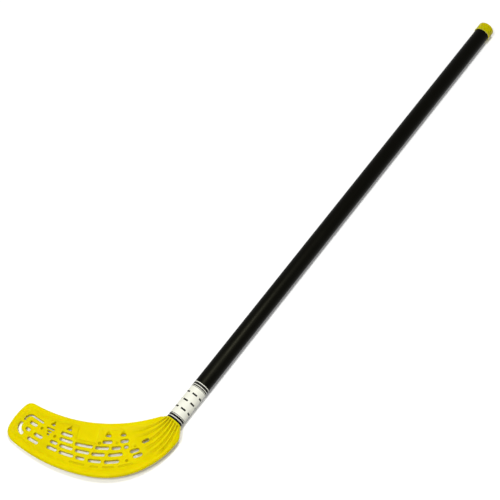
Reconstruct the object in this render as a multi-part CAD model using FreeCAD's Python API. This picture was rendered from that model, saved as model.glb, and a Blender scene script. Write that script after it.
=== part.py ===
import FreeCAD, Part
import math
import os

V = FreeCAD.Vector

# Shaft tube, millimetres
SHAFT_DIAMETER = 24.0
SHAFT_WALL = 1.8
SHAFT_LENGTH = 820.0
TUBE_EDGE_BREAK = 0.4

# Push-on end cap
CAP_WALL = 1.2
CAP_CLEARANCE = 0.05
CAP_SKIRT_DEPTH = 12.5
CAP_END_THICKNESS = 3.5
CAP_EDGE_ROUND = 2.5
CAP_LIP_ROUND = 0.45

# Film label round the neck of the tube
LABEL_THICKNESS = 0.15
LABEL_START = 1.2
LABEL_LENGTH = 62.8
LABEL_OVERLAP = 9.0
LABEL_LAP_TURN_DEGREES = 140.0

# Blade outline, seen square to its face, from the shaft axis and the tube's lower end
HEEL_REACH = 22.6
HEEL_DROP = 20.5
HEEL_RADIUS = 119.6
SOLE_RADIUS = 241.8
SOLE_TURN_DEGREES = 26.0
TOE_REACH = 184.2
TOE_DROP = 119.0
TOE_RADIUS = 90.0
TOE_TOP_DROP = 93.8
TOE_TOP_ROUND = 11.0
TOE_SOLE_ROUND = 19.0
CROOK_RADIUS = 222.0
THROAT_REACH = 18.2
THROAT_DROP = 3.0
THROAT_ROUND = 4.0

# Blade section
BLADE_THICKNESS = 9.0
RIM_ROUND = 3.6
RIM_ROUND_LIMIT_SHARE = 0.45
RIM_WIDTH = 6.8
RIM_SLOPE_WIDTH = 3.6
RECESS_DEPTH = 1.3
RECESS_ROUND = 7.0
SLOT_WIDTH = 4.3
SLOT_EDGE_BREAK = 0.5
SLIT_WIDTH = 1.9
TOE_LOOP_WIDTH = 2.6
TOE_CRESCENT_WIDTH = 5.0
GROOVE_DEPTH = 0.9
GROOVE_RADIUS = 1.9
TRIANGLE_DEPTH = 2.4
TRIANGLE_SLOPE_WIDTH = 1.8
VENT_WIDTH = 2.4
PANEL_LEDGE = 0.15
PANEL_SLOPE_WIDTH = 1.3
DIMPLE_DIAMETER = 4.6
DIMPLE_DEPTH = 1.8

# Collar, fluted heel and spigot of the blade
COLLAR_LENGTH = 1.4
COLLAR_EDGE_BREAK = 0.4
NECK_STEP = 0.35
FLUTE_WIDTH = 2.2
FLUTE_DEPTH = 1.1
FLUTE_STOP = 0.4
SPIGOT_LENGTH = 60.0
SPIGOT_CLEARANCE = 0.05
SPIGOT_CORE_DIAMETER = 10.0
SPIGOT_FLOOR = 8.0
SPIGOT_GROOVE_RADIUS = 1.6
SPIGOT_GROOVE_COUNT = 6
SPIGOT_LEAD_IN = 1.5

# Countersunk screws that hold the spigot in the tube
SCREW_FIRST = 18.0
SCREW_PITCH = 26.0
SCREW_COUNT = 2
SCREW_LENGTH = 9.0
SCREW_SHANK_DIAMETER = 3.4
SCREW_TIP_LENGTH = 1.6
SCREW_HEAD_DIAMETER = 6.2
SCREW_HEAD_HEIGHT = 1.2
SCREW_CLEARANCE = 0.03
SCREW_CROSS_WIDTH = 0.9
SCREW_CROSS_SPAN = 3.2
SCREW_CROSS_DEPTH = 0.9

# How far every cutting shape runs past what it cuts
OVERRUN = 2.0

# Grille: shares along the blade from toe to neck, and up from the sole to the crook edge
# with rows that fall towards the neck
ROW_HEIGHT_SHARES = (0.299, 0.427, 0.550, 0.667)
ROW_LEVEL_SHARE = 0.330
ROW_FALL_SHARE = 0.075
ROW_SLOT_SHARES = (
    ((0.252, 0.297), (0.329, 0.396), (0.429, 0.462), (0.500, 0.555), (0.590, 0.655)),
    ((0.260, 0.288), (0.321, 0.384), (0.418, 0.485), (0.517, 0.576), (0.613, 0.678)),
    ((0.310, 0.376), (0.411, 0.502), (0.537, 0.601), (0.636, 0.672), (0.710, 0.718)),
    ((0.308, 0.366), (0.582, 0.622), (0.693, 0.725)),
)
HEEL_SLOT_SHARES = (
    (0.740, 0.776, 0.410),
    (0.752, 0.788, 0.300),
)
NECK_SLOT_SHARES = ((0.822, 0.850, 0.522),)
GROOVE_SHARES = (
    (0.395, 0.470, 0.181),
    (0.510, 0.545, 0.180),
    (0.575, 0.628, 0.180),
    (0.662, 0.732, 0.178),
)
TOE_SLOT_SHARES = (
    (0.093, 0.128, 0.592),
    (0.090, 0.104, 0.428),
    (0.152, 0.190, 0.415),
    (0.127, 0.180, 0.268),
)
TOE_SLIT_SHARES = (
    (0.202, 0.248, 0.660),
    (0.215, 0.235, 0.598),
    (0.219, 0.228, 0.536),
)
TOE_LOOP_SHARES = (
    ((0.162, 0.716), (0.121, 0.728), (0.077, 0.740)),
    ((0.077, 0.740), (0.053, 0.688), (0.045, 0.572)),
)
TOE_CRESCENT_SHARES = ((0.040, 0.452), (0.049, 0.330), (0.074, 0.280))
TRIANGLE_SHARES = (
    ((0.236, 0.805), (0.224, 0.762), (0.239, 0.756)),
    ((0.352, 0.820), (0.338, 0.775), (0.355, 0.769)),
    ((0.610, 0.826), (0.596, 0.762), (0.623, 0.754)),
    ((0.710, 0.818), (0.695, 0.756), (0.720, 0.746)),
)
VENT_SHARES = (
    (0.226, 0.238, 0.764),
    (0.339, 0.354, 0.777),
    (0.598, 0.621, 0.766),
    (0.697, 0.718, 0.759),
)
DIMPLE_SHARES = (
    (0.172, 0.594),
    (0.268, 0.550),
    (0.553, 0.620),
    (0.662, 0.620),
    (0.706, 0.259),
    (0.767, 0.500),
)
PANEL_SHARES = ((0.410, 0.640), (0.532, 0.616), (0.560, 0.905), (0.418, 0.935))

# Where the sunk web ends towards the neck
RECESS_END_SHARE = 0.890

# Heel swelling: place along the blade, width of the blade taken up, and depth from web to collar
SWELL_SHARES = ((1.000, 0.930, 0.800), (0.900, 0.850, 0.420), (0.760, 0.720, -0.080))
FLUTE_SHARES = (
    ((0.790, 0.820), (0.900, 0.800)),
    ((0.800, 0.690), (0.905, 0.665)),
    ((0.825, 0.490), (0.915, 0.520)),
    ((0.810, 0.370), (0.915, 0.385)),
    ((0.815, 0.250), (0.920, 0.250)),
    ((0.855, 0.150), (0.930, 0.140)),
)
FLUTE_SPREAD_SHARE = 0.72
SWELL_RING_POINTS = 16

# Worked out from the driving dimensions
shaft_radius = SHAFT_DIAMETER / 2
bore_radius = shaft_radius - SHAFT_WALL
cap_bore_radius = shaft_radius + CAP_CLEARANCE
rest_radius = cap_bore_radius + CAP_WALL
spigot_radius = bore_radius - SPIGOT_CLEARANCE
half_thickness = BLADE_THICKNESS / 2
web_half = half_thickness - RECESS_DEPTH
rim_round = min(RIM_ROUND, BLADE_THICKNESS * RIM_ROUND_LIMIT_SHARE)
screw_seat = math.sqrt(shaft_radius ** 2 - (SCREW_HEAD_DIAMETER / 2) ** 2)
shank_bore_radius = SCREW_SHANK_DIAMETER / 2 + SCREW_CLEARANCE
head_bore_radius = SCREW_HEAD_DIAMETER / 2 + SCREW_CLEARANCE
screw_places = [SCREW_FIRST + SCREW_PITCH * index for index in range(SCREW_COUNT)]
AXIS = V(0, 1, 0)
UP = V(0, 0, 1)


def on_circle(centre, radius, angle):
    """Point of a circle in the blade's plane, at an angle from straight down towards +X."""
    return centre + V(radius * math.sin(angle), -radius * math.cos(angle), 0)


def angle_on(centre, point):
    return math.atan2(point.x - centre.x, centre.y - point.y)


def nearer_toe(first, first_radius, second, second_radius):
    """The meeting point of two circles that lies further from the shaft."""
    span = second - first
    along = (first_radius ** 2 - second_radius ** 2 + span.Length ** 2) / (2 * span.Length)
    across = math.sqrt(first_radius ** 2 - along ** 2)
    direction = V(span).normalize()
    square = V(-direction.y, direction.x, 0)
    meetings = [first + direction * along + square * across, first + direction * along - square * across]
    return min(meetings, key=lambda point: point.x)


def outline_layout():
    """Centres, corners and angles of the arcs that bound the blade."""
    turn = math.radians(SOLE_TURN_DEGREES)
    heel_centre = V(HEEL_REACH - HEEL_RADIUS, -HEEL_DROP, 0)
    sole_centre = on_circle(heel_centre, HEEL_RADIUS - SOLE_RADIUS, turn)
    toe_centre = V(TOE_RADIUS - TOE_REACH, -TOE_DROP, 0)

    toe_sole = nearer_toe(toe_centre, TOE_RADIUS, sole_centre, SOLE_RADIUS)
    toe_top_reach = math.sqrt(TOE_RADIUS ** 2 - (TOE_DROP - TOE_TOP_DROP) ** 2)
    toe_top = V(toe_centre.x - toe_top_reach, -TOE_TOP_DROP, 0)

    throat = V(-THROAT_REACH, -THROAT_DROP, 0)
    chord = throat - toe_top
    middle = (throat + toe_top) / 2
    rise = math.sqrt(CROOK_RADIUS ** 2 - (chord.Length / 2) ** 2)
    crook_centre = middle + V(-chord.y, chord.x, 0).normalize() * rise
    return {
        "turn": turn,
        "heel_centre": heel_centre,
        "sole_centre": sole_centre,
        "toe_centre": toe_centre,
        "crook_centre": crook_centre,
        "sole_start": angle_on(sole_centre, toe_sole),
        "crook_start": angle_on(crook_centre, toe_top),
        "crook_end": angle_on(crook_centre, throat),
    }


LAYOUT = outline_layout()


def sole_point(along_share):
    """Point of the lower edge, from the toe corner to the heel's widest point, by length."""
    turn = LAYOUT["turn"]
    sole_length = (turn - LAYOUT["sole_start"]) * SOLE_RADIUS
    heel_length = (math.pi / 2 - turn) * HEEL_RADIUS
    travel = along_share * (sole_length + heel_length)
    if travel <= sole_length:
        return on_circle(LAYOUT["sole_centre"], SOLE_RADIUS, LAYOUT["sole_start"] + travel / SOLE_RADIUS)
    return on_circle(LAYOUT["heel_centre"], HEEL_RADIUS, turn + (travel - sole_length) / HEEL_RADIUS)


def crook_angle(along_share):
    return LAYOUT["crook_start"] + along_share * (LAYOUT["crook_end"] - LAYOUT["crook_start"])


def crook_point(along_share):
    """Point of the upper edge, from the toe corner to the throat."""
    return on_circle(LAYOUT["crook_centre"], CROOK_RADIUS, crook_angle(along_share))


def blade_point(along_share, up_share, height=0.0):
    sole = sole_point(along_share)
    flat = sole + (crook_point(along_share) - sole) * up_share
    return V(flat.x, flat.y, height)


def toe_round(centre, radius, corner_radius, toe_radius):
    """Round of a toe corner: its centre, and where it leaves the toe's arc and the other arc."""
    toe = LAYOUT["toe_centre"]
    middle = nearer_toe(toe, toe_radius - corner_radius, centre, radius)
    on_toe = toe + (middle - toe).normalize() * toe_radius
    return middle, on_toe


def arc_between(centre, radius, start, end):
    """Arc of a circle from one point to another, the short way round."""
    middle = V((start + end) / 2 - centre).normalize() * radius + centre
    return Part.Arc(start, middle, end).toShape()


def toe_edges(inset, top_round, sole_round, crook_from, heel_to):
    """Edges from the crook, round the toe and along the sole to the heel, moved in by an inset."""
    crook, crook_radius = LAYOUT["crook_centre"], CROOK_RADIUS + inset
    sole, sole_radius = LAYOUT["sole_centre"], SOLE_RADIUS - inset
    heel, heel_radius = LAYOUT["heel_centre"], HEEL_RADIUS - inset
    toe, toe_radius = LAYOUT["toe_centre"], TOE_RADIUS - inset
    top_middle, top_on_toe = toe_round(crook, crook_radius + top_round, top_round, toe_radius)
    sole_middle, sole_on_toe = toe_round(sole, sole_radius - sole_round, sole_round, toe_radius)
    top_on_crook = crook + (top_middle - crook).normalize() * crook_radius
    sole_on_sole = sole + (sole_middle - sole).normalize() * sole_radius
    turn_point = on_circle(sole, sole_radius, LAYOUT["turn"])
    return [
        arc_between(crook, crook_radius, crook_from, top_on_crook),
        arc_between(top_middle, top_round, top_on_crook, top_on_toe),
        arc_between(toe, toe_radius, top_on_toe, sole_on_toe),
        arc_between(sole_middle, sole_round, sole_on_toe, sole_on_sole),
        arc_between(sole, sole_radius, sole_on_sole, turn_point),
        arc_between(heel, heel_radius, turn_point, heel_to),
    ]


def outline_wire():
    """The blade's outline: crook edge, toe, sole, heel and the shoulder under the collar."""
    crook = LAYOUT["crook_centre"]
    shoulder_radius = HEEL_DROP - THROAT_DROP
    shoulder = V(HEEL_REACH - shoulder_radius, -HEEL_DROP, 0)
    shoulder_top = shoulder + V(0, shoulder_radius, 0)
    heel_point = V(HEEL_REACH, -HEEL_DROP, 0)
    throat_depth = -THROAT_DROP - THROAT_ROUND
    throat_reach = math.sqrt((CROOK_RADIUS + THROAT_ROUND) ** 2 - (crook.y - throat_depth) ** 2)
    throat = V(crook.x + throat_reach, throat_depth, 0)
    throat_top = throat + V(0, THROAT_ROUND, 0)
    crook_from = crook + (throat - crook).normalize() * CROOK_RADIUS
    edges = toe_edges(0, TOE_TOP_ROUND, TOE_SOLE_ROUND, crook_from, heel_point)
    return Part.Wire(edges + [
        arc_between(shoulder, shoulder_radius, heel_point, shoulder_top),
        Part.LineSegment(shoulder_top, throat_top).toShape(),
        arc_between(throat, THROAT_ROUND, throat_top, crook_from),
    ])


def recess_wire(inset, height):
    """Outline of the sunk web inside the rim."""
    crook_from = on_circle(LAYOUT["crook_centre"], CROOK_RADIUS + inset, crook_angle(RECESS_END_SHARE))
    heel, radius = LAYOUT["heel_centre"], HEEL_RADIUS - inset
    heel_to = heel + (sole_point(RECESS_END_SHARE) - heel).normalize() * radius
    edges = toe_edges(inset, RECESS_ROUND, RECESS_ROUND, crook_from, heel_to)
    edges.append(Part.LineSegment(heel_to, crook_from).toShape())
    wire = Part.Wire(edges)
    wire.translate(UP * height)
    return wire


def both_faces(shape):
    return [shape, shape.mirror(V(0, 0, 0), UP)]


def rounded_plate():
    """Plate of the blade's outline, with a rounded rim and a sunk web on both faces."""
    outline = outline_wire()
    outline.translate(UP * -half_thickness)
    plate = Part.Face(outline).extrude(UP * BLADE_THICKNESS)
    flat_edges = [edge for edge in plate.Edges if edge.BoundBox.ZLength < rim_round / 2]
    plate = plate.makeFillet(rim_round, flat_edges)
    slope = RIM_SLOPE_WIDTH / RECESS_DEPTH
    floor = recess_wire(RIM_WIDTH + RIM_SLOPE_WIDTH, web_half)
    mouth = recess_wire(RIM_WIDTH - OVERRUN * slope, half_thickness + OVERRUN)
    return plate.cut(both_faces(Part.makeLoft([floor, mouth], True, True)))


def ring_points(centre, side, half_width, half_depth):
    """A closed ellipse through points, as wide as the side vector says and as deep along Z."""
    points = []
    for index in range(SWELL_RING_POINTS):
        angle = 2 * math.pi * index / SWELL_RING_POINTS
        points.append(centre + side * (half_width * math.cos(angle)) + UP * (half_depth * math.sin(angle)))
    curve = Part.BSplineCurve()
    curve.interpolate(points, PeriodicFlag=True)
    return Part.Wire(curve.toShape())


def heel_swelling(skin=0.0):
    """The round neck that flattens and spreads into the blade's web, less a skin all round."""
    neck_radius = rest_radius - NECK_STEP
    rings = [ring_points(V(0, 0, 0), V(1, 0, 0), neck_radius - skin, neck_radius - skin)]
    for along_share, width_share, depth_share in SWELL_SHARES:
        sole, crook = sole_point(along_share), crook_point(along_share)
        side = V(sole - crook).normalize()
        half_width = (sole - crook).Length * width_share / 2
        half_depth = web_half + (neck_radius - web_half) * depth_share
        rings.append(ring_points((sole + crook) / 2, side, half_width - skin, half_depth - skin))
    return Part.makeLoft(rings, True, False)


def collar_and_spigot():
    """Collar that the tube's end stands on, and the cored, grooved spigot inside the tube."""
    collar = Part.makeCylinder(rest_radius, COLLAR_LENGTH, V(0, -COLLAR_LENGTH, 0), AXIS)
    collar = collar.makeChamfer(COLLAR_EDGE_BREAK, round_edges(collar, rest_radius))
    spigot = Part.makeCylinder(spigot_radius, COLLAR_LENGTH + SPIGOT_LENGTH, V(0, -COLLAR_LENGTH, 0), AXIS)
    tip = [edge for edge in round_edges(spigot, spigot_radius) if edge.CenterOfMass.y > 0]
    spigot = spigot.makeChamfer(SPIGOT_LEAD_IN, tip)
    core_depth = SPIGOT_LENGTH - SPIGOT_FLOOR + OVERRUN
    cuts = [Part.makeCylinder(SPIGOT_CORE_DIAMETER / 2, core_depth, V(0, SPIGOT_FLOOR, 0), AXIS)]
    for index in range(SPIGOT_GROOVE_COUNT):
        angle = 2 * math.pi * index / SPIGOT_GROOVE_COUNT
        place = V(spigot_radius * math.cos(angle), SPIGOT_FLOOR, spigot_radius * math.sin(angle))
        cuts.append(Part.makeCylinder(SPIGOT_GROOVE_RADIUS, core_depth, place, AXIS))
    return collar.fuse(spigot.cut(cuts))


def round_edges(solid, radius):
    """Circular edges of one radius."""
    edges = []
    for edge in solid.Edges:
        if isinstance(edge.Curve, Part.Circle) and math.isclose(edge.Curve.Radius, radius):
            edges.append(edge)
    return edges


def stadium(points, half, height):
    """Closed outline of a slot round the arc through three points, with round ends."""
    centre = Part.Arc(*points).toShape().Curve.Center
    outward = [V(point - centre).normalize() for point in points]
    outer = [point + side * half for point, side in zip(points, outward)]
    inner = [point - side * half for point, side in zip(points, outward)]
    chord = points[2] - points[0]
    tips = []
    for point, side, heading in ((points[2], outward[2], chord), (points[0], outward[0], -chord)):
        ahead = V(side.y, -side.x, 0)
        tips.append(point + ahead * math.copysign(half, ahead.dot(heading)))
    wire = Part.Wire([
        Part.Arc(outer[0], outer[1], outer[2]).toShape(),
        Part.Arc(outer[2], tips[0], inner[2]).toShape(),
        Part.Arc(inner[2], inner[1], inner[0]).toShape(),
        Part.Arc(inner[0], tips[1], outer[0]).toShape(),
    ])
    wire.translate(UP * height)
    return wire


def slot_cutter(points, width):
    """A slot right through the web, with sloping edge breaks on both faces."""
    half = width / 2
    break_start = web_half - SLOT_EDGE_BREAK
    mouth = half_thickness + OVERRUN
    wide = half + mouth - break_start
    levels = ((wide, -mouth), (half, -break_start), (half, break_start), (wide, mouth))
    return Part.makeLoft([stadium(points, reach, height) for reach, height in levels], True, True)


def row_points(start_share, end_share, up_share):
    middle_share = (start_share + end_share) / 2
    return [blade_point(share, up_share) for share in (start_share, middle_share, end_share)]


def plain_slot_cutter(points, width):
    """A slot with straight walls through the swollen heel."""
    return Part.Face(stadium(points, width / 2, -rest_radius)).extrude(UP * 2 * rest_radius)


def grille_cutters():
    cutters = []
    for up_share, slots in zip(ROW_HEIGHT_SHARES, ROW_SLOT_SHARES):
        for start_share, end_share in slots:
            fall_share = ROW_FALL_SHARE * ((start_share + end_share) / 2 - ROW_LEVEL_SHARE)
            points = row_points(start_share, end_share, up_share - fall_share)
            cutters.append(slot_cutter(points, SLOT_WIDTH))
    for shares in HEEL_SLOT_SHARES + TOE_SLOT_SHARES:
        cutters.append(slot_cutter(row_points(*shares), SLOT_WIDTH))
    for shares in TOE_SLIT_SHARES:
        cutters.append(slot_cutter(row_points(*shares), SLIT_WIDTH))
    for shares in NECK_SLOT_SHARES:
        cutters.append(plain_slot_cutter(row_points(*shares), SLOT_WIDTH))
    for shares in TOE_LOOP_SHARES:
        cutters.append(slot_cutter([blade_point(*share) for share in shares], TOE_LOOP_WIDTH))
    crescent = [blade_point(*share) for share in TOE_CRESCENT_SHARES]
    cutters.append(slot_cutter(crescent, TOE_CRESCENT_WIDTH))
    return cutters


def sloped_block(corners, low, high, spread):
    """Block with straight sides between two heights, grown by a spread at its upper end."""
    rings = []
    for height, growth in ((low, 0), (high, spread)):
        ring = Part.makePolygon([V(point.x, point.y, height) for point in corners + corners[:1]])
        if growth:
            ring = ring.makeOffset2D(growth, 2)
        rings.append(ring)
    return Part.makeLoft(rings, True, True)


def triangle_cutters():
    """Sunk triangles on both faces, with a vent right through at the foot of each."""
    cutters = [plain_slot_cutter(row_points(*shares), VENT_WIDTH) for shares in VENT_SHARES]
    floor = web_half - TRIANGLE_DEPTH
    mouth = half_thickness + OVERRUN
    spread = TRIANGLE_SLOPE_WIDTH * (mouth - floor) / TRIANGLE_DEPTH
    for shares in TRIANGLE_SHARES:
        corners = [blade_point(*share) for share in shares]
        cutters += both_faces(sloped_block(corners, floor, mouth, spread))
    return cutters


def panels():
    """Plain raised panel in the upper half of the grille, on both faces."""
    corners = [blade_point(*share) for share in PANEL_SHARES]
    rise = RECESS_DEPTH - PANEL_LEDGE
    foot = web_half - RECESS_DEPTH
    spread = PANEL_SLOPE_WIDTH * (rise + RECESS_DEPTH) / rise
    return both_faces(sloped_block(corners, half_thickness - PANEL_LEDGE, foot, spread))


def rod_along(start, middle, end, radius):
    """A round rod along an arc in space, with ball ends."""
    arc = Part.Arc(start, middle, end).toShape()
    tangent = arc.tangentAt(arc.FirstParameter)
    disc = Part.Face(Part.Wire(Part.Circle(start, tangent, radius).toShape()))
    sweep = math.degrees(arc.LastParameter - arc.FirstParameter)
    return [
        disc.revolve(arc.Curve.Center, arc.Curve.Axis, sweep),
        Part.makeSphere(radius, start),
        Part.makeSphere(radius, end),
    ]


def groove_cutters():
    """Shallow grooves along the sole and round dimples in the web."""
    cutters = []
    for start_share, end_share, up_share in GROOVE_SHARES:
        lift = UP * (web_half + GROOVE_RADIUS - GROOVE_DEPTH)
        path = [point + lift for point in row_points(start_share, end_share, up_share)]
        for shape in rod_along(*path, GROOVE_RADIUS):
            cutters += both_faces(shape)
    dimple_radius = ((DIMPLE_DIAMETER / 2) ** 2 + DIMPLE_DEPTH ** 2) / (2 * DIMPLE_DEPTH)
    for along_share, up_share in DIMPLE_SHARES:
        place = blade_point(along_share, up_share, web_half + dimple_radius - DIMPLE_DEPTH)
        cutters += both_faces(Part.makeSphere(dimple_radius, place))
    return cutters


def flute_cutters():
    """Long flutes of even depth that gather from the heel into the neck."""
    web = Part.Face(outline_wire()).extrude(UP * web_half)
    flute_floor = heel_swelling(FLUTE_DEPTH).fuse(web)
    neck_spread = rest_radius * FLUTE_SPREAD_SHARE
    last = len(FLUTE_SHARES) - 1
    cutters = []
    for index, (low, high) in enumerate(FLUTE_SHARES):
        neck = V(neck_spread * (2 * index / last - 1), -COLLAR_LENGTH - FLUTE_STOP - FLUTE_WIDTH / 2, 0)
        strip = Part.Face(stadium([blade_point(*low), blade_point(*high), neck], FLUTE_WIDTH / 2, 0))
        cutters += both_faces(strip.extrude(UP * (rest_radius + OVERRUN)).cut(flute_floor))
    return cutters


def screw_bore(radius, place):
    return Part.makeCylinder(radius, shaft_radius, V(0, place, 0), -UP)


def blade():
    body = rounded_plate().fuse([heel_swelling(), collar_and_spigot()] + panels())
    body = body.cut(grille_cutters() + triangle_cutters() + groove_cutters() + flute_cutters())
    return body.cut([screw_bore(shank_bore_radius, place) for place in screw_places])


def countersink(place):
    """Cone of a screw head that opens towards the floor side, with a straight mouth below it."""
    seat = V(0, place, -screw_seat)
    cone = Part.makeCone(head_bore_radius, shank_bore_radius, SCREW_HEAD_HEIGHT, seat, UP)
    return cone.fuse(Part.makeCylinder(head_bore_radius, OVERRUN, seat, -UP))


def shaft_tube():
    tube = Part.makeCylinder(shaft_radius, SHAFT_LENGTH, V(0, 0, 0), AXIS)
    far_edge = [edge for edge in round_edges(tube, shaft_radius) if edge.CenterOfMass.y > 0]
    tube = tube.makeChamfer(TUBE_EDGE_BREAK, far_edge)
    cuts = [Part.makeCylinder(bore_radius, SHAFT_LENGTH + 2 * OVERRUN, V(0, -OVERRUN, 0), AXIS)]
    for place in screw_places:
        cuts.append(countersink(place))
        cuts.append(screw_bore(shank_bore_radius, place))
    return tube.cut(cuts)


def blade_screws():
    screws = []
    shank_radius = SCREW_SHANK_DIAMETER / 2
    for place in screw_places:
        seat = V(0, place, -screw_seat)
        head = Part.makeCone(SCREW_HEAD_DIAMETER / 2, shank_radius, SCREW_HEAD_HEIGHT, seat, UP)
        shank = Part.makeCylinder(shank_radius, SCREW_LENGTH - SCREW_TIP_LENGTH, seat, UP)
        tip_base = seat + UP * (SCREW_LENGTH - SCREW_TIP_LENGTH)
        tip = Part.makeCone(shank_radius, 0, SCREW_TIP_LENGTH, tip_base, UP)
        screw = head.fuse([shank, tip]).removeSplitter()
        screws.append(screw.cut(cross_recess(seat)))
    return Part.makeCompound(screws)


def cross_recess(seat):
    bars = []
    for span, width in ((SCREW_CROSS_SPAN, SCREW_CROSS_WIDTH), (SCREW_CROSS_WIDTH, SCREW_CROSS_SPAN)):
        corner = seat + V(-span / 2, -width / 2, -OVERRUN)
        bars.append(Part.makeBox(span, width, OVERRUN + SCREW_CROSS_DEPTH, corner))
    return bars


def sleeve(inner, thickness, degrees=360):
    wall = Part.makeCylinder(inner + thickness, LABEL_LENGTH, V(0, LABEL_START, 0), AXIS, degrees)
    core = Part.makeCylinder(inner, LABEL_LENGTH + 2 * OVERRUN, V(0, LABEL_START - OVERRUN, 0), AXIS)
    return wall.cut(core)


def neck_label():
    """One turn of film, with its lap on itself low on the toe's side and a hole over each screw."""
    lap_radius = shaft_radius + LABEL_THICKNESS
    lap = sleeve(lap_radius, LABEL_THICKNESS, math.degrees(LABEL_OVERLAP / lap_radius))
    lap.rotate(V(0, 0, 0), AXIS, -LABEL_LAP_TURN_DEGREES)
    film = sleeve(shaft_radius, LABEL_THICKNESS).fuse(lap)
    holes = [screw_bore(head_bore_radius, place) for place in screw_places]
    return film.cut([hole.translated(-UP * bore_radius) for hole in holes])


def end_cap():
    length = CAP_SKIRT_DEPTH + CAP_END_THICKNESS
    mouth = V(0, SHAFT_LENGTH - CAP_SKIRT_DEPTH, 0)
    cap = Part.makeCylinder(rest_radius, length, mouth, AXIS)
    lip, rim = sorted(round_edges(cap, rest_radius), key=lambda edge: edge.CenterOfMass.y)
    cap = cap.makeFillet(CAP_EDGE_ROUND, [rim]).makeFillet(CAP_LIP_ROUND, [lip])
    bore_start = mouth - AXIS * OVERRUN
    return cap.cut(Part.makeCylinder(cap_bore_radius, CAP_SKIRT_DEPTH + OVERRUN, bore_start, AXIS))


def resting_tilt():
    """Angle about the shaft that lets the toe's lower rim touch the floor that cap and collar lie on."""
    depth = rim_round - half_thickness
    reach = TOE_REACH - rim_round
    return math.asin((rest_radius - rim_round) / math.hypot(depth, reach)) - math.atan2(-depth, reach)


def main():
    shapes = {
        "blade": blade(),
        "shaft_tube": shaft_tube(),
        "neck_label": neck_label(),
        "end_cap": end_cap(),
        "blade_screws": blade_screws(),
    }
    for shape in shapes.values():
        shape.rotate(V(0, 0, 0), AXIS, -math.degrees(resting_tilt()))
    box = Part.makeCompound(list(shapes.values())).optimalBoundingBox(False, False)
    offset = V(-box.Center.x, -box.Center.y, -box.ZMin)
    os.makedirs("parts", exist_ok=True)
    for name, shape in shapes.items():
        shape.translate(offset)
        shape.exportStep("parts/" + name + ".step")
        print(name, "valid", shape.isValid(), "solids", len(shape.Solids), "volume", round(shape.Volume, 1))
    print("box", box.XLength, box.YLength, box.ZLength, "offset", offset)
    print("tilt", math.degrees(resting_tilt()))


main()
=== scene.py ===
import math

import bmesh
import bpy
import numpy as np
from mathutils import Matrix, Vector


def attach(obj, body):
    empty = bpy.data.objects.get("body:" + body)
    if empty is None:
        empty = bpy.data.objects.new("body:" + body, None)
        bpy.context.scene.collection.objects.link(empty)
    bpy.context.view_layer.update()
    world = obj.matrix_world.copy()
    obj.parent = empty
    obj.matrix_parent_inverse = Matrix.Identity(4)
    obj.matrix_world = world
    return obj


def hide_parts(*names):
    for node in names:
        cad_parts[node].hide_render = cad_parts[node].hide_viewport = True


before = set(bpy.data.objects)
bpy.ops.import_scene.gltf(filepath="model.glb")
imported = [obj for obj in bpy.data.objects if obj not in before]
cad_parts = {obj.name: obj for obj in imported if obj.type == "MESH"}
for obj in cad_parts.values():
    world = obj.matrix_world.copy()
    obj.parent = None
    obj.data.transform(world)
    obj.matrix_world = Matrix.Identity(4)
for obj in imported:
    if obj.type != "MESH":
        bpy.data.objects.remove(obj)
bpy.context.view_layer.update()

MM = 0.001
scene = bpy.context.scene
scene.view_settings.view_transform = "Standard"

# The shaft's axis and the tube's lower end in the frame, metres
AXIS_X = 0.0807051
AXIS_Z = 0.01325
TUBE_END_Y = -0.3355163

# The turn about the shaft that lays the blade's toe on the floor, and the moves to and from the
# blade's own plane, which has the tube's lower end at its origin and the shaft along +Y
BLADE_TILT = math.radians(2.777381)
TO_FLAT = Matrix.Rotation(BLADE_TILT, 4, "Y") @ Matrix.Translation((-AXIS_X, -TUBE_END_Y, -AXIS_Z))
FROM_FLAT = TO_FLAT.inverted()


def link(name, data):
    obj = bpy.data.objects.new(name, data)
    scene.collection.objects.link(obj)
    return obj


def evaluated(obj):
    """The object's mesh with its modifiers applied. The object itself is removed."""
    depsgraph = bpy.context.evaluated_depsgraph_get()
    mesh = bpy.data.meshes.new_from_object(obj.evaluated_get(depsgraph))
    bpy.data.objects.remove(obj)
    return mesh


def smoothstep(low, high, values):
    share = np.clip((values - low) / (high - low), 0, 1)
    return share * share * (3 - 2 * share)


# Blade: millimetres in its own plane, and metres where a length is multiplied by MM

VOXEL = 0.4 * MM
WELD = 0.001 * MM

# Share of the way to the neighbours' mean in one round of relaxing, and the rounds for all edges,
# for the heel and for the pressed flutes
RELAX_SHARE = 0.5
EDGE_ROUNDS = 5
HEEL_ROUNDS = 60
FLUTE_ROUNDS = 2

# Heights over which the heel sets in and gives way to the collar, and those the flutes stay between
HEEL_FADE = (-88, -66)
COLLAR_FADE = (-4.0, -1.2)
FLUTES_LOWEST = -75
FLUTES_HIGHEST = 0.1

# The slot nearest the neck, and the distances from it over which relaxing and flutes set in
NECK_SLOT = np.array(((-14.9, -47.1), (-11.7, -41.9)))
HEEL_SLOT_FADE = (3.0, 6.0)
FLUTE_SLOT_FADE = (2.6, 5.0)

# Flutes of the heel: far end, middle and neck
FLUTES = (
    ((-41.0, -49.1), (-19.9, -24.2), (-9.5, 1.0)),
    ((-32.2, -53.1), (-12.8, -27.2), (-5.7, 1.0)),
    ((-15.5, -55.7), (-4.8, -29.2), (-1.9, 1.0)),
    ((-11.0, -63.3), (1.8, -32.9), (1.9, 1.0)),
    ((-4.0, -66.9), (8.6, -35.4), (5.7, 1.0)),
    ((5.4, -63.5), (14.5, -35.8), (9.5, 1.0)),
)
FLUTE_STEPS = 30

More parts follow.
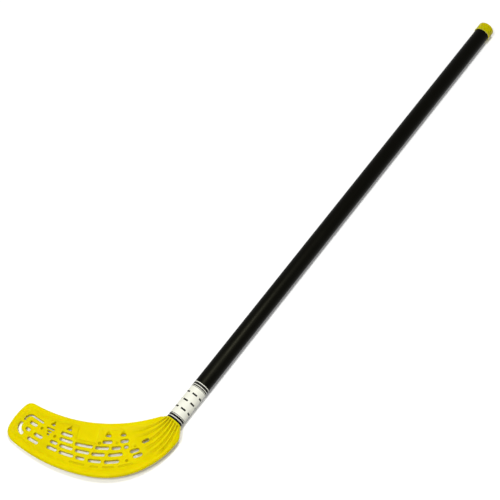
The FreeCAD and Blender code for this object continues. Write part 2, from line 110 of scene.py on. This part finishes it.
# A flute's depth and half width, how much deeper and narrower it is at the neck, and the shares of
# its length over which it sets in, deepens and narrows
FLUTE_DEPTH = 0.80
FLUTE_WIDTH = 2.2
NECK_DEEPER = 0.60
NECK_NARROWER = 1.1
SET_IN = (0.0, 0.30)
DEEPEN = (0.55, 0.97)
NARROW = (0.2, 0.95)

# Flutes fade in as a face turns from upright (0) to level (1)
FLUTE_FACING = (0.10, 0.55)


def relaxed(points, edges, weights, rounds):
    """Points drawn towards the mean of their neighbours, each by its own weight."""
    count = len(points)
    degree = np.bincount(edges.ravel(), minlength=count)
    for _ in range(rounds):
        mean = np.empty_like(points)
        for axis in range(3):
            values = points[:, axis]
            mean[:, axis] = np.bincount(edges[:, 0], values[edges[:, 1]], count)
            mean[:, axis] += np.bincount(edges[:, 1], values[edges[:, 0]], count)
        points = points + (mean / degree[:, None] - points) * weights[:, None]
    return points


def curve_through(first, middle, last):
    """Points of a parabola through three points."""
    first, middle, last = (np.array(point) for point in (first, middle, last))
    pull = 2 * middle - (first + last) / 2
    share = np.linspace(0, 1, FLUTE_STEPS)[:, None]
    return (1 - share) ** 2 * first + 2 * share * (1 - share) * pull + share ** 2 * last


def along_path(points, path):
    """Distance of each point from a path, and the share of the path's length at the nearest place."""
    lengths = np.linalg.norm(np.diff(path, axis=0), axis=1)
    passed = np.concatenate([[0], np.cumsum(lengths)])
    best = np.full(len(points), np.inf)
    share = np.zeros(len(points))
    for index, length in enumerate(lengths):
        step = (path[index + 1] - path[index]) / length
        travel = np.clip((points - path[index]) @ step, 0, length)
        gap = np.linalg.norm(points - path[index] - travel[:, None] * step, axis=1)
        nearer = gap < best
        best[nearer] = gap[nearer]
        share[nearer] = (passed[index] + travel[nearer]) / passed[-1]
    return best, share


def mesh_arrays(mesh):
    """Points, vertex normals and edges as arrays."""
    points = np.empty(len(mesh.vertices) * 3)
    mesh.vertices.foreach_get("co", points)
    normals = np.empty(len(mesh.vertices) * 3)
    mesh.vertex_normals.foreach_get("vector", normals)
    edges = np.empty(len(mesh.edges) * 2, dtype=np.int64)
    mesh.edges.foreach_get("vertices", edges)
    return points.reshape(-1, 3), normals.reshape(-1, 3), edges.reshape(-1, 2)


def set_points(mesh, points):
    mesh.vertices.foreach_set("co", points.astype(np.float32).ravel())
    mesh.update()


def before_collar(plan):
    """One on the heel and zero at its collar, where the solid's own flutes are left as they are."""
    return 1 - smoothstep(*COLLAR_FADE, plan[:, 1])


def flute_depths(plan):
    """How deep the flutes are at each point, on a face that lies level."""
    deepest = np.zeros(len(plan))
    for flute in FLUTES:
        gap, share = along_path(plan, curve_through(*flute))
        depth = FLUTE_DEPTH * smoothstep(*SET_IN, share) + NECK_DEEPER * smoothstep(*DEEPEN, share)
        width = FLUTE_WIDTH - NECK_NARROWER * smoothstep(*NARROW, share)
        deepest = np.maximum(deepest, depth * np.exp(-(gap / width) ** 2))
    return deepest


def blade_moulding():
    """The blade's solid with soft moulded edges, a heel that flows into the web, and soft flutes."""
    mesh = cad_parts["blade"].data.copy()
    mesh.transform(TO_FLAT)
    rough = link("blade_rough", mesh)
    weld = rough.modifiers.new("weld", "WELD")
    weld.merge_threshold = WELD
    remesh = rough.modifiers.new("remesh", "REMESH")
    remesh.mode = "VOXEL"
    remesh.voxel_size = VOXEL
    mesh = evaluated(rough)

    points, _, edges = mesh_arrays(mesh)
    plan = points[:, :2] / MM
    everywhere = np.full(len(points), RELAX_SHARE)
    points = relaxed(points, edges, everywhere, EDGE_ROUNDS)
    slot_gap, _ = along_path(plan, NECK_SLOT)
    heel = smoothstep(*HEEL_FADE, plan[:, 1]) * before_collar(plan)
    heel *= smoothstep(*HEEL_SLOT_FADE, slot_gap)
    points = relaxed(points, edges, RELAX_SHARE * heel, HEEL_ROUNDS)
    set_points(mesh, points)

    points, normals, edges = mesh_arrays(mesh)
    plan = points[:, :2] / MM
    near = (plan[:, 1] > FLUTES_LOWEST) & (plan[:, 1] < FLUTES_HIGHEST)
    slot_gap, _ = along_path(plan[near], NECK_SLOT)
    facing = smoothstep(*FLUTE_FACING, np.abs(normals[near, 2]))
    facing *= smoothstep(*FLUTE_SLOT_FADE, slot_gap)
    sink = flute_depths(plan[near]) * (facing * before_collar(plan[near]))
    points[near] -= normals[near] * (sink * MM)[:, None]
    points = relaxed(points, edges, everywhere, FLUTE_ROUNDS)
    set_points(mesh, points)
    mesh.transform(FROM_FLAT)
    mesh.shade_smooth()
    return link("blade_moulding", mesh)


# Tube, label, screws and cap: millimetres, with heights from the tube's lower end

TUBE_RADIUS = 12.0
TUBE_BORE = 10.2
TUBE_LENGTH = 820.0
LOWER_CHAMFER = 0.12
UPPER_CHAMFER = 0.4

# Heights of rings beside the screw holes and along the tube
HOLE_RINGS = (13, 23, 39, 49)
TUBE_RINGS = HOLE_RINGS + (66, 200, 400, 600)

# Screw holes: heights, level of the heads' faces from the axis, radii for head and shank, length of
# the countersink, and how far the cutter reaches out and in
SCREW_PLACES = (18.0, 44.0)
SCREW_SEAT = -11.593
HEAD_HOLE = 3.13
SHANK_HOLE = 1.73
COUNTERSINK = 1.2
CUT_OUT = 3
CUT_IN = 4
HOLE_STEPS = 48

# Label: ends, thickness, rim, gap under the film, where its turn starts, its lap in degrees, and the
# radians before a full turn between which it climbs on to itself
LABEL_START = 1.2
LABEL_END = 64.0
FILM = 0.15
LABEL_RIM = 0.1
LABEL_GAP = 0.012
LABEL_ANGLE = 187.5
LABEL_LAP = 42.5
LABEL_COLUMNS = 170
CLIMB_START = 0.30
CLIMB_END = 0.02

# Cap: radii and heights
CAP_RADIUS = 13.0
CAP_BORE = 12.05
CAP_MOUTH = 807.5
CAP_END = 823.5
CAP_CORNER = 2.5
CAP_CORNER_STEPS = 12

# The bead round its mouth: radius, rounding, height of the upper rounding, how many degrees of that
# show, and the heights between which the plain skirt runs
BEAD_RADIUS = 13.25
BEAD_ROUNDING = 0.5
BEAD_TOP = 1.1
BEAD_TOP_TURN = 60
SKIRT = (1.9, 6)

# The bevel inside its mouth: height and width
MOUTH_BEVEL = (0.5, 0.25)

# Radii and depths of the flat end and its gate mark
END_FACE = ((6.0, 0), (1.6, 0), (1.3, 0.1), (1.1, 0.3), (0.4, 0.3), (0, 0.3))

LATHE_STEPS = 144
SHARP_ANGLE = math.radians(32)
SLIVER = 0.002 * MM


def on_circle(radius, height, angle):
    """Point in metres on a circle about the Y axis."""
    return radius * MM * math.cos(angle), height * MM, radius * MM * math.sin(angle)


def lathe(profile, steps=LATHE_STEPS):
    """Closed mesh of a ring of (radius, height) millimetre pairs turned about the Y axis.
    Points with no radius close the mesh on the axis."""
    vertices = []
    rings = []
    for radius, height in profile:
        first = len(vertices)
        if radius == 0:
            rings.append([first] * steps)
            vertices.append((0, height * MM, 0))
            continue
        rings.append(list(range(first, first + steps)))
        vertices += [on_circle(radius, height, 2 * math.pi * step / steps) for step in range(steps)]
    closed = profile[0][0] != 0
    followers = rings[1:] + rings[:1] if closed else rings[1:]
    faces = []
    for low, high in zip(rings, followers):
        for step in range(steps):
            after = (step + 1) % steps
            corners = (low[step], high[step], high[after], low[after])
            faces.append(list(dict.fromkeys(corners)))
    mesh = bpy.data.meshes.new("lathe")
    mesh.from_pydata(vertices, [], faces)
    return mesh


def finished(name, mesh):
    """Object with smooth faces, and crisp edges where its faces meet sharply."""
    mesh.shade_smooth()
    mesh.set_sharp_from_angle(angle=SHARP_ANGLE)
    return link(name, mesh)


def arc(centre, radius, start, end, steps=6):
    """Profile points of a rounded corner: centre (radius, height), size and degrees from outward."""
    points = []
    for index in range(steps + 1):
        angle = math.radians(start + (end - start) * index / steps)
        points.append((centre[0] + radius * math.cos(angle), centre[1] + radius * math.sin(angle)))
    return points


def drop_slivers(mesh):
    """Merges doubled points, cuts faces of many corners into triangles and removes flat slivers."""
    work = bmesh.new()
    work.from_mesh(mesh)
    bmesh.ops.remove_doubles(work, verts=work.verts, dist=SLIVER)
    bmesh.ops.triangulate(work, faces=[face for face in work.faces if len(face.verts) > 4])
    bmesh.ops.dissolve_degenerate(work, edges=work.edges, dist=SLIVER)
    work.to_mesh(mesh)
    work.free()


def screw_cutter(place):
    """Countersunk cutter on the floor side, turned by half a step off the tube's own edges."""
    head = [(0, -CUT_OUT), (HEAD_HOLE, -CUT_OUT), (HEAD_HOLE, 0)]
    shank = [(SHANK_HOLE, COUNTERSINK), (SHANK_HOLE, CUT_IN), (0, CUT_IN)]
    mesh = lathe(head + shank, HOLE_STEPS)
    mesh.transform(Matrix.Rotation(math.pi / HOLE_STEPS, 4, "Y"))
    mesh.transform(Matrix.Rotation(math.pi / 2, 4, "X"))
    mesh.transform(Matrix.Translation((0, place * MM, SCREW_SEAT * MM)))
    return link("cutter", mesh)


def with_screw_holes(mesh):
    """Cuts the two countersunk holes."""
    body = link("body", mesh)
    cutters = [screw_cutter(place) for place in SCREW_PLACES]
    for cutter in cutters:
        cut = body.modifiers.new("hole", "BOOLEAN")
        cut.object = cutter
        cut.solver = "EXACT"
    mesh = evaluated(body)
    for cutter in cutters:
        bpy.data.objects.remove(cutter)
    drop_slivers(mesh)
    return mesh


def screws():
    """The two screws as they are in the frame, without slivers."""
    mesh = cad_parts["blade_screws"].data.copy()
    drop_slivers(mesh)
    return finished("screws", mesh)


def shaft():
    """Tube with a chamfer at each end and the two screw holes."""
    outer = [(TUBE_RADIUS - LOWER_CHAMFER, 0), (TUBE_RADIUS, LOWER_CHAMFER)]
    outer += [(TUBE_RADIUS, height) for height in TUBE_RINGS]
    outer += [(TUBE_RADIUS, TUBE_LENGTH - UPPER_CHAMFER), (TUBE_RADIUS - UPPER_CHAMFER, TUBE_LENGTH)]
    inner = [(TUBE_BORE, height) for height in (TUBE_LENGTH, *reversed(TUBE_RINGS), 0)]
    mesh = with_screw_holes(lathe(outer + inner))
    mesh.transform(FROM_FLAT)
    return finished("shaft", mesh)


def label_sleeve():
    """One turn of film that ends in a lap on itself, low on the toe's side."""
    start = math.radians(LABEL_ANGLE)
    full_turn = 2 * math.pi
    whole = full_turn + math.radians(LABEL_LAP)
    rows = (LABEL_START, LABEL_START + LABEL_RIM, *HOLE_RINGS, LABEL_END - LABEL_RIM, LABEL_END)
    vertices = []
    for side in (0, 1):
        for column in range(LABEL_COLUMNS + 1):
            turned = whole * (column / LABEL_COLUMNS)
            climb = float(smoothstep(full_turn - CLIMB_START, full_turn - CLIMB_END, turned))
            radius = TUBE_RADIUS + LABEL_GAP + (FILM + LABEL_GAP) * climb + FILM * side
            vertices += [on_circle(radius, row, start + turned) for row in rows]

    # Inner and outer faces, then the rims of the two round edges and of the two ends
    wide = len(rows)
    layer = (LABEL_COLUMNS + 1) * wide
    faces = []
    for column in range(LABEL_COLUMNS):
        for row in range(wide - 1):
            here = column * wide + row
            beside = here + wide
            faces.append((here, beside, beside + 1, here + 1))
            faces.append((layer + here, layer + here + 1, layer + beside + 1, layer + beside))
    for column in range(LABEL_COLUMNS):
        for row, flip in ((0, False), (wide - 1, True)):
            here = column * wide + row
            beside = here + wide
            rim = (here, layer + here, layer + beside, beside)
            faces.append(rim[::-1] if flip else rim)
    for column, flip in ((0, True), (LABEL_COLUMNS, False)):
        for row in range(wide - 1):
            here = column * wide + row
            rim = (here, layer + here, layer + here + 1, here + 1)
            faces.append(rim[::-1] if flip else rim)
    mesh = bpy.data.meshes.new("label")
    mesh.from_pydata(vertices, [], faces)
    mesh = with_screw_holes(mesh)
    mesh.transform(FROM_FLAT)
    return finished("label_sleeve", mesh)


def cap():
    """Push-on cap: beaded mouth, rounded end and a small gate mark in the middle of the end."""
    bead_centre = BEAD_RADIUS - BEAD_ROUNDING
    corner_centre = (CAP_RADIUS - CAP_CORNER, CAP_END - CAP_CORNER)
    bevel_height, bevel_width = MOUTH_BEVEL
    profile = [(0, TUBE_LENGTH)]
    profile += [(CAP_BORE - UPPER_CHAMFER, TUBE_LENGTH), (CAP_BORE, TUBE_LENGTH - UPPER_CHAMFER)]
    profile += [(CAP_BORE, CAP_MOUTH + bevel_height), (CAP_BORE + bevel_width, CAP_MOUTH)]
    profile += arc((bead_centre, CAP_MOUTH + BEAD_ROUNDING), BEAD_ROUNDING, -90, 0)
    profile += arc((bead_centre, CAP_MOUTH + BEAD_TOP), BEAD_ROUNDING, 0, BEAD_TOP_TURN)
    profile += [(CAP_RADIUS, CAP_MOUTH + height) for height in SKIRT]
    profile += arc(corner_centre, CAP_CORNER, 0, 90, CAP_CORNER_STEPS)
    profile += [(radius, CAP_END - depth) for radius, depth in END_FACE]
    mesh = lathe(profile)
    mesh.transform(FROM_FLAT)
    return finished("cap", mesh)


# Materials

# Name of the attribute that holds how far a vertex stands out
BEND = "bend"

# Yellow plastic: colours, the painted shade for corners and hollows, metres within which a hollow gets
# painted shade, and roughness
BLADE_LIGHT = (0.785, 0.670, 0.0, 1)
BLADE_DARK = (0.730, 0.615, 0.0, 1)
# The blade's edge tone is partly edge wear and partly a painted highlight on its edges
BLADE_EDGE_WEAR_AND_HIGHLIGHT = (0.84, 0.73, 0.03, 1)
CAP_LIGHT = (0.60, 0.50, 0.0, 1)
CAP_DARK = (0.53, 0.435, 0.0, 1)
# The cap's edge tone is partly edge wear and partly a painted highlight on its edges and bead
CAP_EDGE_WEAR_AND_HIGHLIGHT = (0.80, 0.72, 0.20, 1)
# Painted shade for tight corners and hollows, where the relief's shade falls
PAINTED_SHADE = (0.40, 0.31, 0.0, 1)
PAINTED_SHADE_REACH = 0.008
YELLOW_ROUGHNESS = 0.36

# Stretch of the noise for flow lines in the blade, lines along the tube and ripples in the film
FLOW_STRETCH = (60, 260, 260)
LINE_STRETCH = (1500, 6, 1500)
RIPPLE_STRETCH = (420, 130, 420)

TUBE_BLACK = (0.0002, 0.0002, 0.0002, 1)
TUBE_LINE = (0.0008, 0.0008, 0.0006, 1)
TUBE_RUBBED = (0.0015, 0.0015, 0.0012, 1)

PAPER_DARK = (0.85, 0.85, 0.725, 1)
PAPER_LIGHT = (0.90, 0.90, 0.78, 1)
INK = (0.003, 0.003, 0.003, 1)

# Print on the label: centres and half widths of the stripes, centres of the rows of dashes, their
# half width, how many stand round the tube, how much of each beat they fill, and where the first
# row's beat starts and each further row's is shifted
STRIPES = ((2.1, 1.0), (5.7, 1.6), (8.4, 0.4), (55.7, 0.35), (57.7, 0.9), (61.25, 1.65))
DASH_ROWS = (19.5, 32.5, 45.5)
DASH_HALF = 1.25
DASHES_ROUND = 6.0
DASH_FILL = 0.62
BEAT_START = 2
BEAT_SHIFT = 0.5

ZINC_DARK = (0.50, 0.50, 0.47, 1)
ZINC_LIGHT = (0.66, 0.66, 0.68, 1)


def node(tree, kind, inputs=None, **settings):
    """New shader node with its settings, and its inputs linked or set."""
    made = tree.nodes.new(kind)
    for key, value in settings.items():
        setattr(made, key, value)
    for key, value in (inputs or {}).items():
        if isinstance(value, bpy.types.NodeSocket):
            tree.links.new(value, made.inputs[key])
        else:
            made.inputs[key].default_value = value
    return made


def calc(tree, operation, *values):
    return node(tree, "ShaderNodeMath", dict(enumerate(values)), operation=operation).outputs[0]


def noise(tree, vector, scale, detail=3.0, roughness=0.5):
    inputs = {"Vector": vector, "Scale": scale, "Detail": detail, "Roughness": roughness}
    return node(tree, "ShaderNodeTexNoise", inputs).outputs["Fac"]


def ranged(tree, value, low, high, to_low, to_high):
    inputs = {"Value": value, "From Min": low, "From Max": high, "To Min": to_low, "To Max": to_high}
    return node(tree, "ShaderNodeMapRange", inputs).outputs["Result"]


def mixed(tree, share, first, second):
    made = node(tree, "ShaderNodeMix", {0: share, 6: first, 7: second}, data_type="RGBA")
    return made.outputs[2]


def bumped(tree, height, strength, distance, normal=None):
    inputs = {"Height": height, "Strength": strength, "Distance": distance}
    if normal:
        inputs["Normal"] = normal
    return node(tree, "ShaderNodeBump", inputs).outputs["Normal"]


def drawn_out(tree, place, scale):
    return node(tree, "ShaderNodeMapping", {"Vector": place, "Scale": scale}).outputs["Vector"]


def material(name):
    """New material, its tree, its shader and the object coordinates."""
    made = bpy.data.materials.new(name)
    made.use_nodes = True
    tree = made.node_tree
    place = node(tree, "ShaderNodeTexCoord").outputs["Object"]
    return made, tree, tree.nodes["Principled BSDF"], place


def store_bend(mesh):
    """Stores how far each vertex stands out from its neighbours: 0.5 on a flat, more on an edge and
    less in a corner. The renderer's own pointiness runs together vertices that are this close."""
    points, normals, edges = mesh_arrays(mesh)
    count = len(points)
    first, second = edges.T
    step = points[second] - points[first]
    step /= np.linalg.norm(step, axis=1)[:, None]
    degree = np.bincount(edges.ravel(), minlength=count)
    rise = np.bincount(first, (step * normals[first]).sum(axis=1), count)
    rise -= np.bincount(second, (step * normals[second]).sum(axis=1), count)
    bend = np.arccos(np.clip(rise / degree, -1, 1)) / math.pi
    around = np.bincount(first, bend[second], count) + np.bincount(second, bend[first], count)
    bend = (bend + around) / (degree + 1)
    mesh.attributes.new(BEND, "FLOAT", "POINT").data.foreach_set("value", bend.astype(np.float32))


def yellow_plastic(name, light, dark, edge_wear_and_highlight):
    """Moulded polyethylene: clouded dye, paler edges (partly wear, partly painted highlight), painted
    shade in corners and hollows, faint flow lines, fine peel.
    """
    made, tree, shader, place = material(name)
    cloud = noise(tree, place, scale=38.0, detail=4.0, roughness=0.55)
    colour = mixed(tree, ranged(tree, cloud, 0.35, 0.65, 0, 1), dark, light)

    # Paler edges, partly wear and partly a painted highlight, and painted shade in tight corners, by
    # the stored bend
    bend = node(tree, "ShaderNodeAttribute", attribute_name=BEND).outputs["Fac"]
    colour = mixed(tree, ranged(tree, bend, 0.510, 0.55, 0, 0.8), colour, edge_wear_and_highlight)
    colour = mixed(tree, ranged(tree, bend, 0.485, 0.40, 0, 0.6), colour, PAINTED_SHADE)

    # Painted shade in hollows of faces that lie level, by occlusion, so that the walls of the slots
    # stay yellow
    inputs = {"Distance": PAINTED_SHADE_REACH}
    shade_occlusion = node(tree, "ShaderNodeAmbientOcclusion", inputs, samples=8, only_local=True)
    normal = node(tree, "ShaderNodeTexCoord").outputs["Normal"]
    upward = node(tree, "ShaderNodeSeparateXYZ", {"Vector": normal}).outputs["Z"]
    level = ranged(tree, calc(tree, "ABSOLUTE", upward), 0.30, 0.65, 0, 1)
    painted_hollow_shade = calc(tree, "MULTIPLY", ranged(tree, shade_occlusion.outputs["AO"], 0.99, 0.62, 0, 1), level)
    colour = mixed(tree, painted_hollow_shade, colour, PAINTED_SHADE)
    tree.links.new(colour, shader.inputs["Base Color"])

    # Gloss that varies with a fine grain and along the flow
    fine = ranged(tree, noise(tree, place, scale=900.0), 0.3, 0.7, -0.03, 0.03)
    flow = noise(tree, drawn_out(tree, place, FLOW_STRETCH), scale=1.0, detail=4.0, roughness=0.6)
    gloss = calc(tree, "ADD", fine, ranged(tree, flow, 0.3, 0.7, -0.05, 0.05))
    tree.links.new(calc(tree, "ADD", gloss, YELLOW_ROUGHNESS), shader.inputs["Roughness"])

    peel = bumped(tree, noise(tree, place, scale=1400.0, detail=2.0), 0.10, 0.0002)
    waves = bumped(tree, noise(tree, place, scale=160.0, detail=2.0), 0.10, 0.0006, peel)
    tree.links.new(waves, shader.inputs["Normal"])
    shader.inputs["Specular IOR Level"].default_value = 0.08
    shader.inputs["Specular Tint"].default_value = (1.0, 0.88, 0.20, 1)
    shader.inputs["Subsurface Weight"].default_value = 0.90
    shader.inputs["Subsurface Radius"].default_value = (1.0, 0.75, 0.06)
    shader.inputs["Subsurface Scale"].default_value = 0.006
    return made


def black_tube():
    """Extruded black plastic: fine lines along the tube, which draw its gloss out round it, and faint
    rubbed patches."""
    made, tree, shader, place = material("black_tube")
    lines = noise(tree, drawn_out(tree, place, LINE_STRETCH), scale=1.0, roughness=0.6)
    rubbed = noise(tree, place, scale=22.0, detail=5.0, roughness=0.6)
    colour = mixed(tree, ranged(tree, lines, 0.35, 0.7, 0, 1), TUBE_BLACK, TUBE_LINE)
    colour = mixed(tree, ranged(tree, rubbed, 0.55, 0.75, 0, 0.5), colour, TUBE_RUBBED)
    tree.links.new(colour, shader.inputs["Base Color"])
    line_gloss = ranged(tree, lines, 0.3, 0.7, 0.27, 0.33)
    rubbed_gloss = ranged(tree, rubbed, 0.45, 0.7, 0, 0.06)
    tree.links.new(calc(tree, "ADD", line_gloss, rubbed_gloss), shader.inputs["Roughness"])
    tree.links.new(bumped(tree, lines, 0.08, 0.0001), shader.inputs["Normal"])
    round_tube = node(tree, "ShaderNodeTangent", direction_type="RADIAL", axis="Y").outputs[0]
    tree.links.new(round_tube, shader.inputs["Tangent"])
    shader.inputs["Anisotropic"].default_value = 0.80
    shader.inputs["Specular IOR Level"].default_value = 0.045
    shader.inputs["Specular Tint"].default_value = (1.0, 0.98, 0.66, 1)
    return made


def printed_film():
    """Off-white film with black edge stripes and plain short dashes in three rows."""
    made, tree, shader, place = material("printed_film")
    split = node(tree, "ShaderNodeSeparateXYZ", {"Vector": place})
    height = calc(tree, "SUBTRACT", split.outputs["Y"], TUBE_END_Y)
    height = calc(tree, "MULTIPLY", height, 1 / MM)
    across = calc(tree, "SUBTRACT", split.outputs["X"], AXIS_X)
    up = calc(tree, "SUBTRACT", split.outputs["Z"], AXIS_Z)
    turn = calc(tree, "MULTIPLY", calc(tree, "ARCTAN2", up, across), 0.5 / math.pi)

    def band(centre, half):
        gap = calc(tree, "ABSOLUTE", calc(tree, "SUBTRACT", height, centre))
        return calc(tree, "LESS_THAN", gap, half)

    ink = 0.0
    for centre, half in STRIPES:
        ink = calc(tree, "MAXIMUM", ink, band(centre, half))
    for index, centre in enumerate(DASH_ROWS):
        beat = calc(tree, "MULTIPLY", turn, DASHES_ROUND)
        beat = calc(tree, "FRACT", calc(tree, "ADD", beat, BEAT_START + BEAT_SHIFT * index))
        filled = calc(tree, "LESS_THAN", beat, DASH_FILL)
        dash = calc(tree, "MULTIPLY", band(centre, DASH_HALF), filled)
        ink = calc(tree, "MAXIMUM", ink, dash)

    cloud = noise(tree, place, scale=120.0, detail=4.0, roughness=0.6)
    paper = mixed(tree, ranged(tree, cloud, 0.3, 0.7, 0, 1), PAPER_DARK, PAPER_LIGHT)
    wear = ranged(tree, noise(tree, place, scale=1800.0, detail=2.0), 0.3, 0.6, 0.97, 1.0)
    colour = mixed(tree, calc(tree, "MULTIPLY", ink, wear), paper, INK)
    tree.links.new(colour, shader.inputs["Base Color"])
    tree.links.new(ranged(tree, cloud, 0.3, 0.7, 0.30, 0.42), shader.inputs["Roughness"])
    ripple = noise(tree, drawn_out(tree, place, RIPPLE_STRETCH), scale=1.0)
    tree.links.new(bumped(tree, ripple, 0.18, 0.0004), shader.inputs["Normal"])
    shader.inputs["Specular IOR Level"].default_value = 0.06
    return made


def zinc_steel():
    """Zinc-plated screws: pale metal with a cloudy, finely grained plating."""
    made, tree, shader, place = material("zinc_steel")
    cloud = noise(tree, place, scale=700.0, detail=4.0, roughness=0.6)
    colour = mixed(tree, ranged(tree, cloud, 0.35, 0.65, 0, 1), ZINC_DARK, ZINC_LIGHT)
    tree.links.new(colour, shader.inputs["Base Color"])
    tree.links.new(ranged(tree, cloud, 0.3, 0.7, 0.26, 0.44), shader.inputs["Roughness"])
    grain = noise(tree, place, scale=4000.0, detail=2.0)
    tree.links.new(bumped(tree, grain, 0.12, 0.0001), shader.inputs["Normal"])
    shader.inputs["Metallic"].default_value = 1.0
    return made


def dress(piece, body, made, replaced):
    """Gives a piece its material and body, and hides the node that it replaces."""
    piece.data.materials.clear()
    piece.data.materials.append(made)
    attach(piece, body)
    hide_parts(replaced)


moulding = blade_moulding()
butt = cap()
store_bend(moulding.data)
store_bend(butt.data)
blade_yellow = yellow_plastic("blade_yellow", BLADE_LIGHT, BLADE_DARK, BLADE_EDGE_WEAR_AND_HIGHLIGHT)
dress(moulding, "stick", blade_yellow, "blade")
cap_yellow = yellow_plastic("cap_yellow", CAP_LIGHT, CAP_DARK, CAP_EDGE_WEAR_AND_HIGHLIGHT)
dress(butt, "cap", cap_yellow, "end_cap")
dress(shaft(), "stick", black_tube(), "shaft_tube")
dress(label_sleeve(), "stick", printed_film(), "neck_label")
dress(screws(), "stick", zinc_steel(), "blade_screws")


# Floor, light and camera, in metres

FLOOR_HALF = 8.0

# The floor's tone for rays that only carry light, its tone and glow where it is seen, and how far from
# the middle it turns to plain white
BOUNCE_TONE = (0.80, 0.80, 0.80, 1)
SEEN_TONE = (0.90, 0.90, 0.90, 1)
SEEN_GLOW = 0.16
WHITENING = (0.60, 1.40)
WHITE = (1, 1, 1, 1)
WORLD_LEVEL = 0.18

# Camera at the photograph's viewing angle, with its lens and sensor in millimetres
AZIMUTH = math.radians(36.448)
ELEVATION = math.radians(64.303)
CAMERA_PLACE = (0.45790, -0.66902, 1.58268)
LENS = 84.96
SENSOR = 36.0


def seen_rays(tree):
    """One for rays from the camera, a gloss or a clear piece, zero for those that only carry light."""
    rays = node(tree, "ShaderNodeLightPath")
    seen = calc(tree, "MAXIMUM", rays.outputs["Is Camera Ray"], rays.outputs["Is Glossy Ray"])
    return calc(tree, "MAXIMUM", seen, rays.outputs["Is Transmission Ray"])


def floor_material():
    """Pale floor. The camera and mirrors see it white, with the shadows kept round the object."""
    made = bpy.data.materials.new("floor")
    made.use_nodes = True
    tree = made.node_tree
    tree.nodes.clear()
    plain = node(tree, "ShaderNodeBsdfDiffuse", {"Color": BOUNCE_TONE})
    shade = node(tree, "ShaderNodeBsdfDiffuse", {"Color": SEEN_TONE})
    glow = node(tree, "ShaderNodeEmission", {"Color": WHITE, "Strength": SEEN_GLOW})
    lifted = node(tree, "ShaderNodeAddShader", {0: shade.outputs[0], 1: glow.outputs[0]})
    white = node(tree, "ShaderNodeEmission", {"Color": WHITE, "Strength": 1.0})
    place = node(tree, "ShaderNodeTexCoord").outputs["Object"]
    reach = node(tree, "ShaderNodeVectorMath", {0: place}, operation="LENGTH").outputs["Value"]
    away = ranged(tree, reach, *WHITENING, 0, 1)
    lifted = node(tree, "ShaderNodeMixShader", {0: away, 1: lifted.outputs[0], 2: white.outputs[0]})
    inputs = {0: seen_rays(tree), 1: plain.outputs[0], 2: lifted.outputs[0]}
    both = node(tree, "ShaderNodeMixShader", inputs)
    node(tree, "ShaderNodeOutputMaterial", {"Surface": both.outputs[0]})
    return made


def floor():
    half = FLOOR_HALF
    corners = [(-half, -half, 0), (half, -half, 0), (half, half, 0), (-half, half, 0)]
    mesh = bpy.data.meshes.new("floor")
    mesh.from_pydata(corners, [], [(0, 1, 2, 3)])
    mesh.materials.append(floor_material())
    link("floor", mesh)


def area_light(name, place, target, size, power):
    data = bpy.data.lights.new(name, "AREA")
    data.shape = "RECTANGLE"
    data.size, data.size_y = size
    data.energy = power
    lamp = link(name, data)
    lamp.location = place
    lamp.rotation_mode = "QUATERNION"
    lamp.rotation_quaternion = (Vector(target) - Vector(place)).to_track_quat("-Z", "Y")


def world_light():
    """White where it is seen, and a weaker level for rays that only carry light."""
    world = bpy.data.worlds.new("studio")
    scene.world = world
    world.use_nodes = True
    tree = world.node_tree
    strength = ranged(tree, seen_rays(tree), 0, 1, WORLD_LEVEL, 1.0)
    tree.nodes["Background"].inputs["Color"].default_value = WHITE
    tree.links.new(strength, tree.nodes["Background"].inputs["Strength"])


def set_camera():
    lens = bpy.data.cameras.new("camera")
    lens.sensor_width = SENSOR
    lens.lens = LENS
    camera = link("camera", lens)
    camera.location = CAMERA_PLACE
    back = Vector((
        math.sin(AZIMUTH) * math.cos(ELEVATION),
        -math.cos(AZIMUTH) * math.cos(ELEVATION),
        math.sin(ELEVATION),
    ))
    camera.rotation_mode = "QUATERNION"
    camera.rotation_quaternion = (-back).to_track_quat("-Z", "Y")
    scene.camera = camera


floor()
world_light()
area_light("key", place=(-0.05, -0.92, 2.4), target=(0.0, -0.25, 0.0), size=(0.6, 0.7), power=32.0)
area_light("back", place=(-0.08, 0.50, 2.6), target=(0.0, -0.10, 0.0), size=(0.3, 0.5), power=32.0)
set_camera()
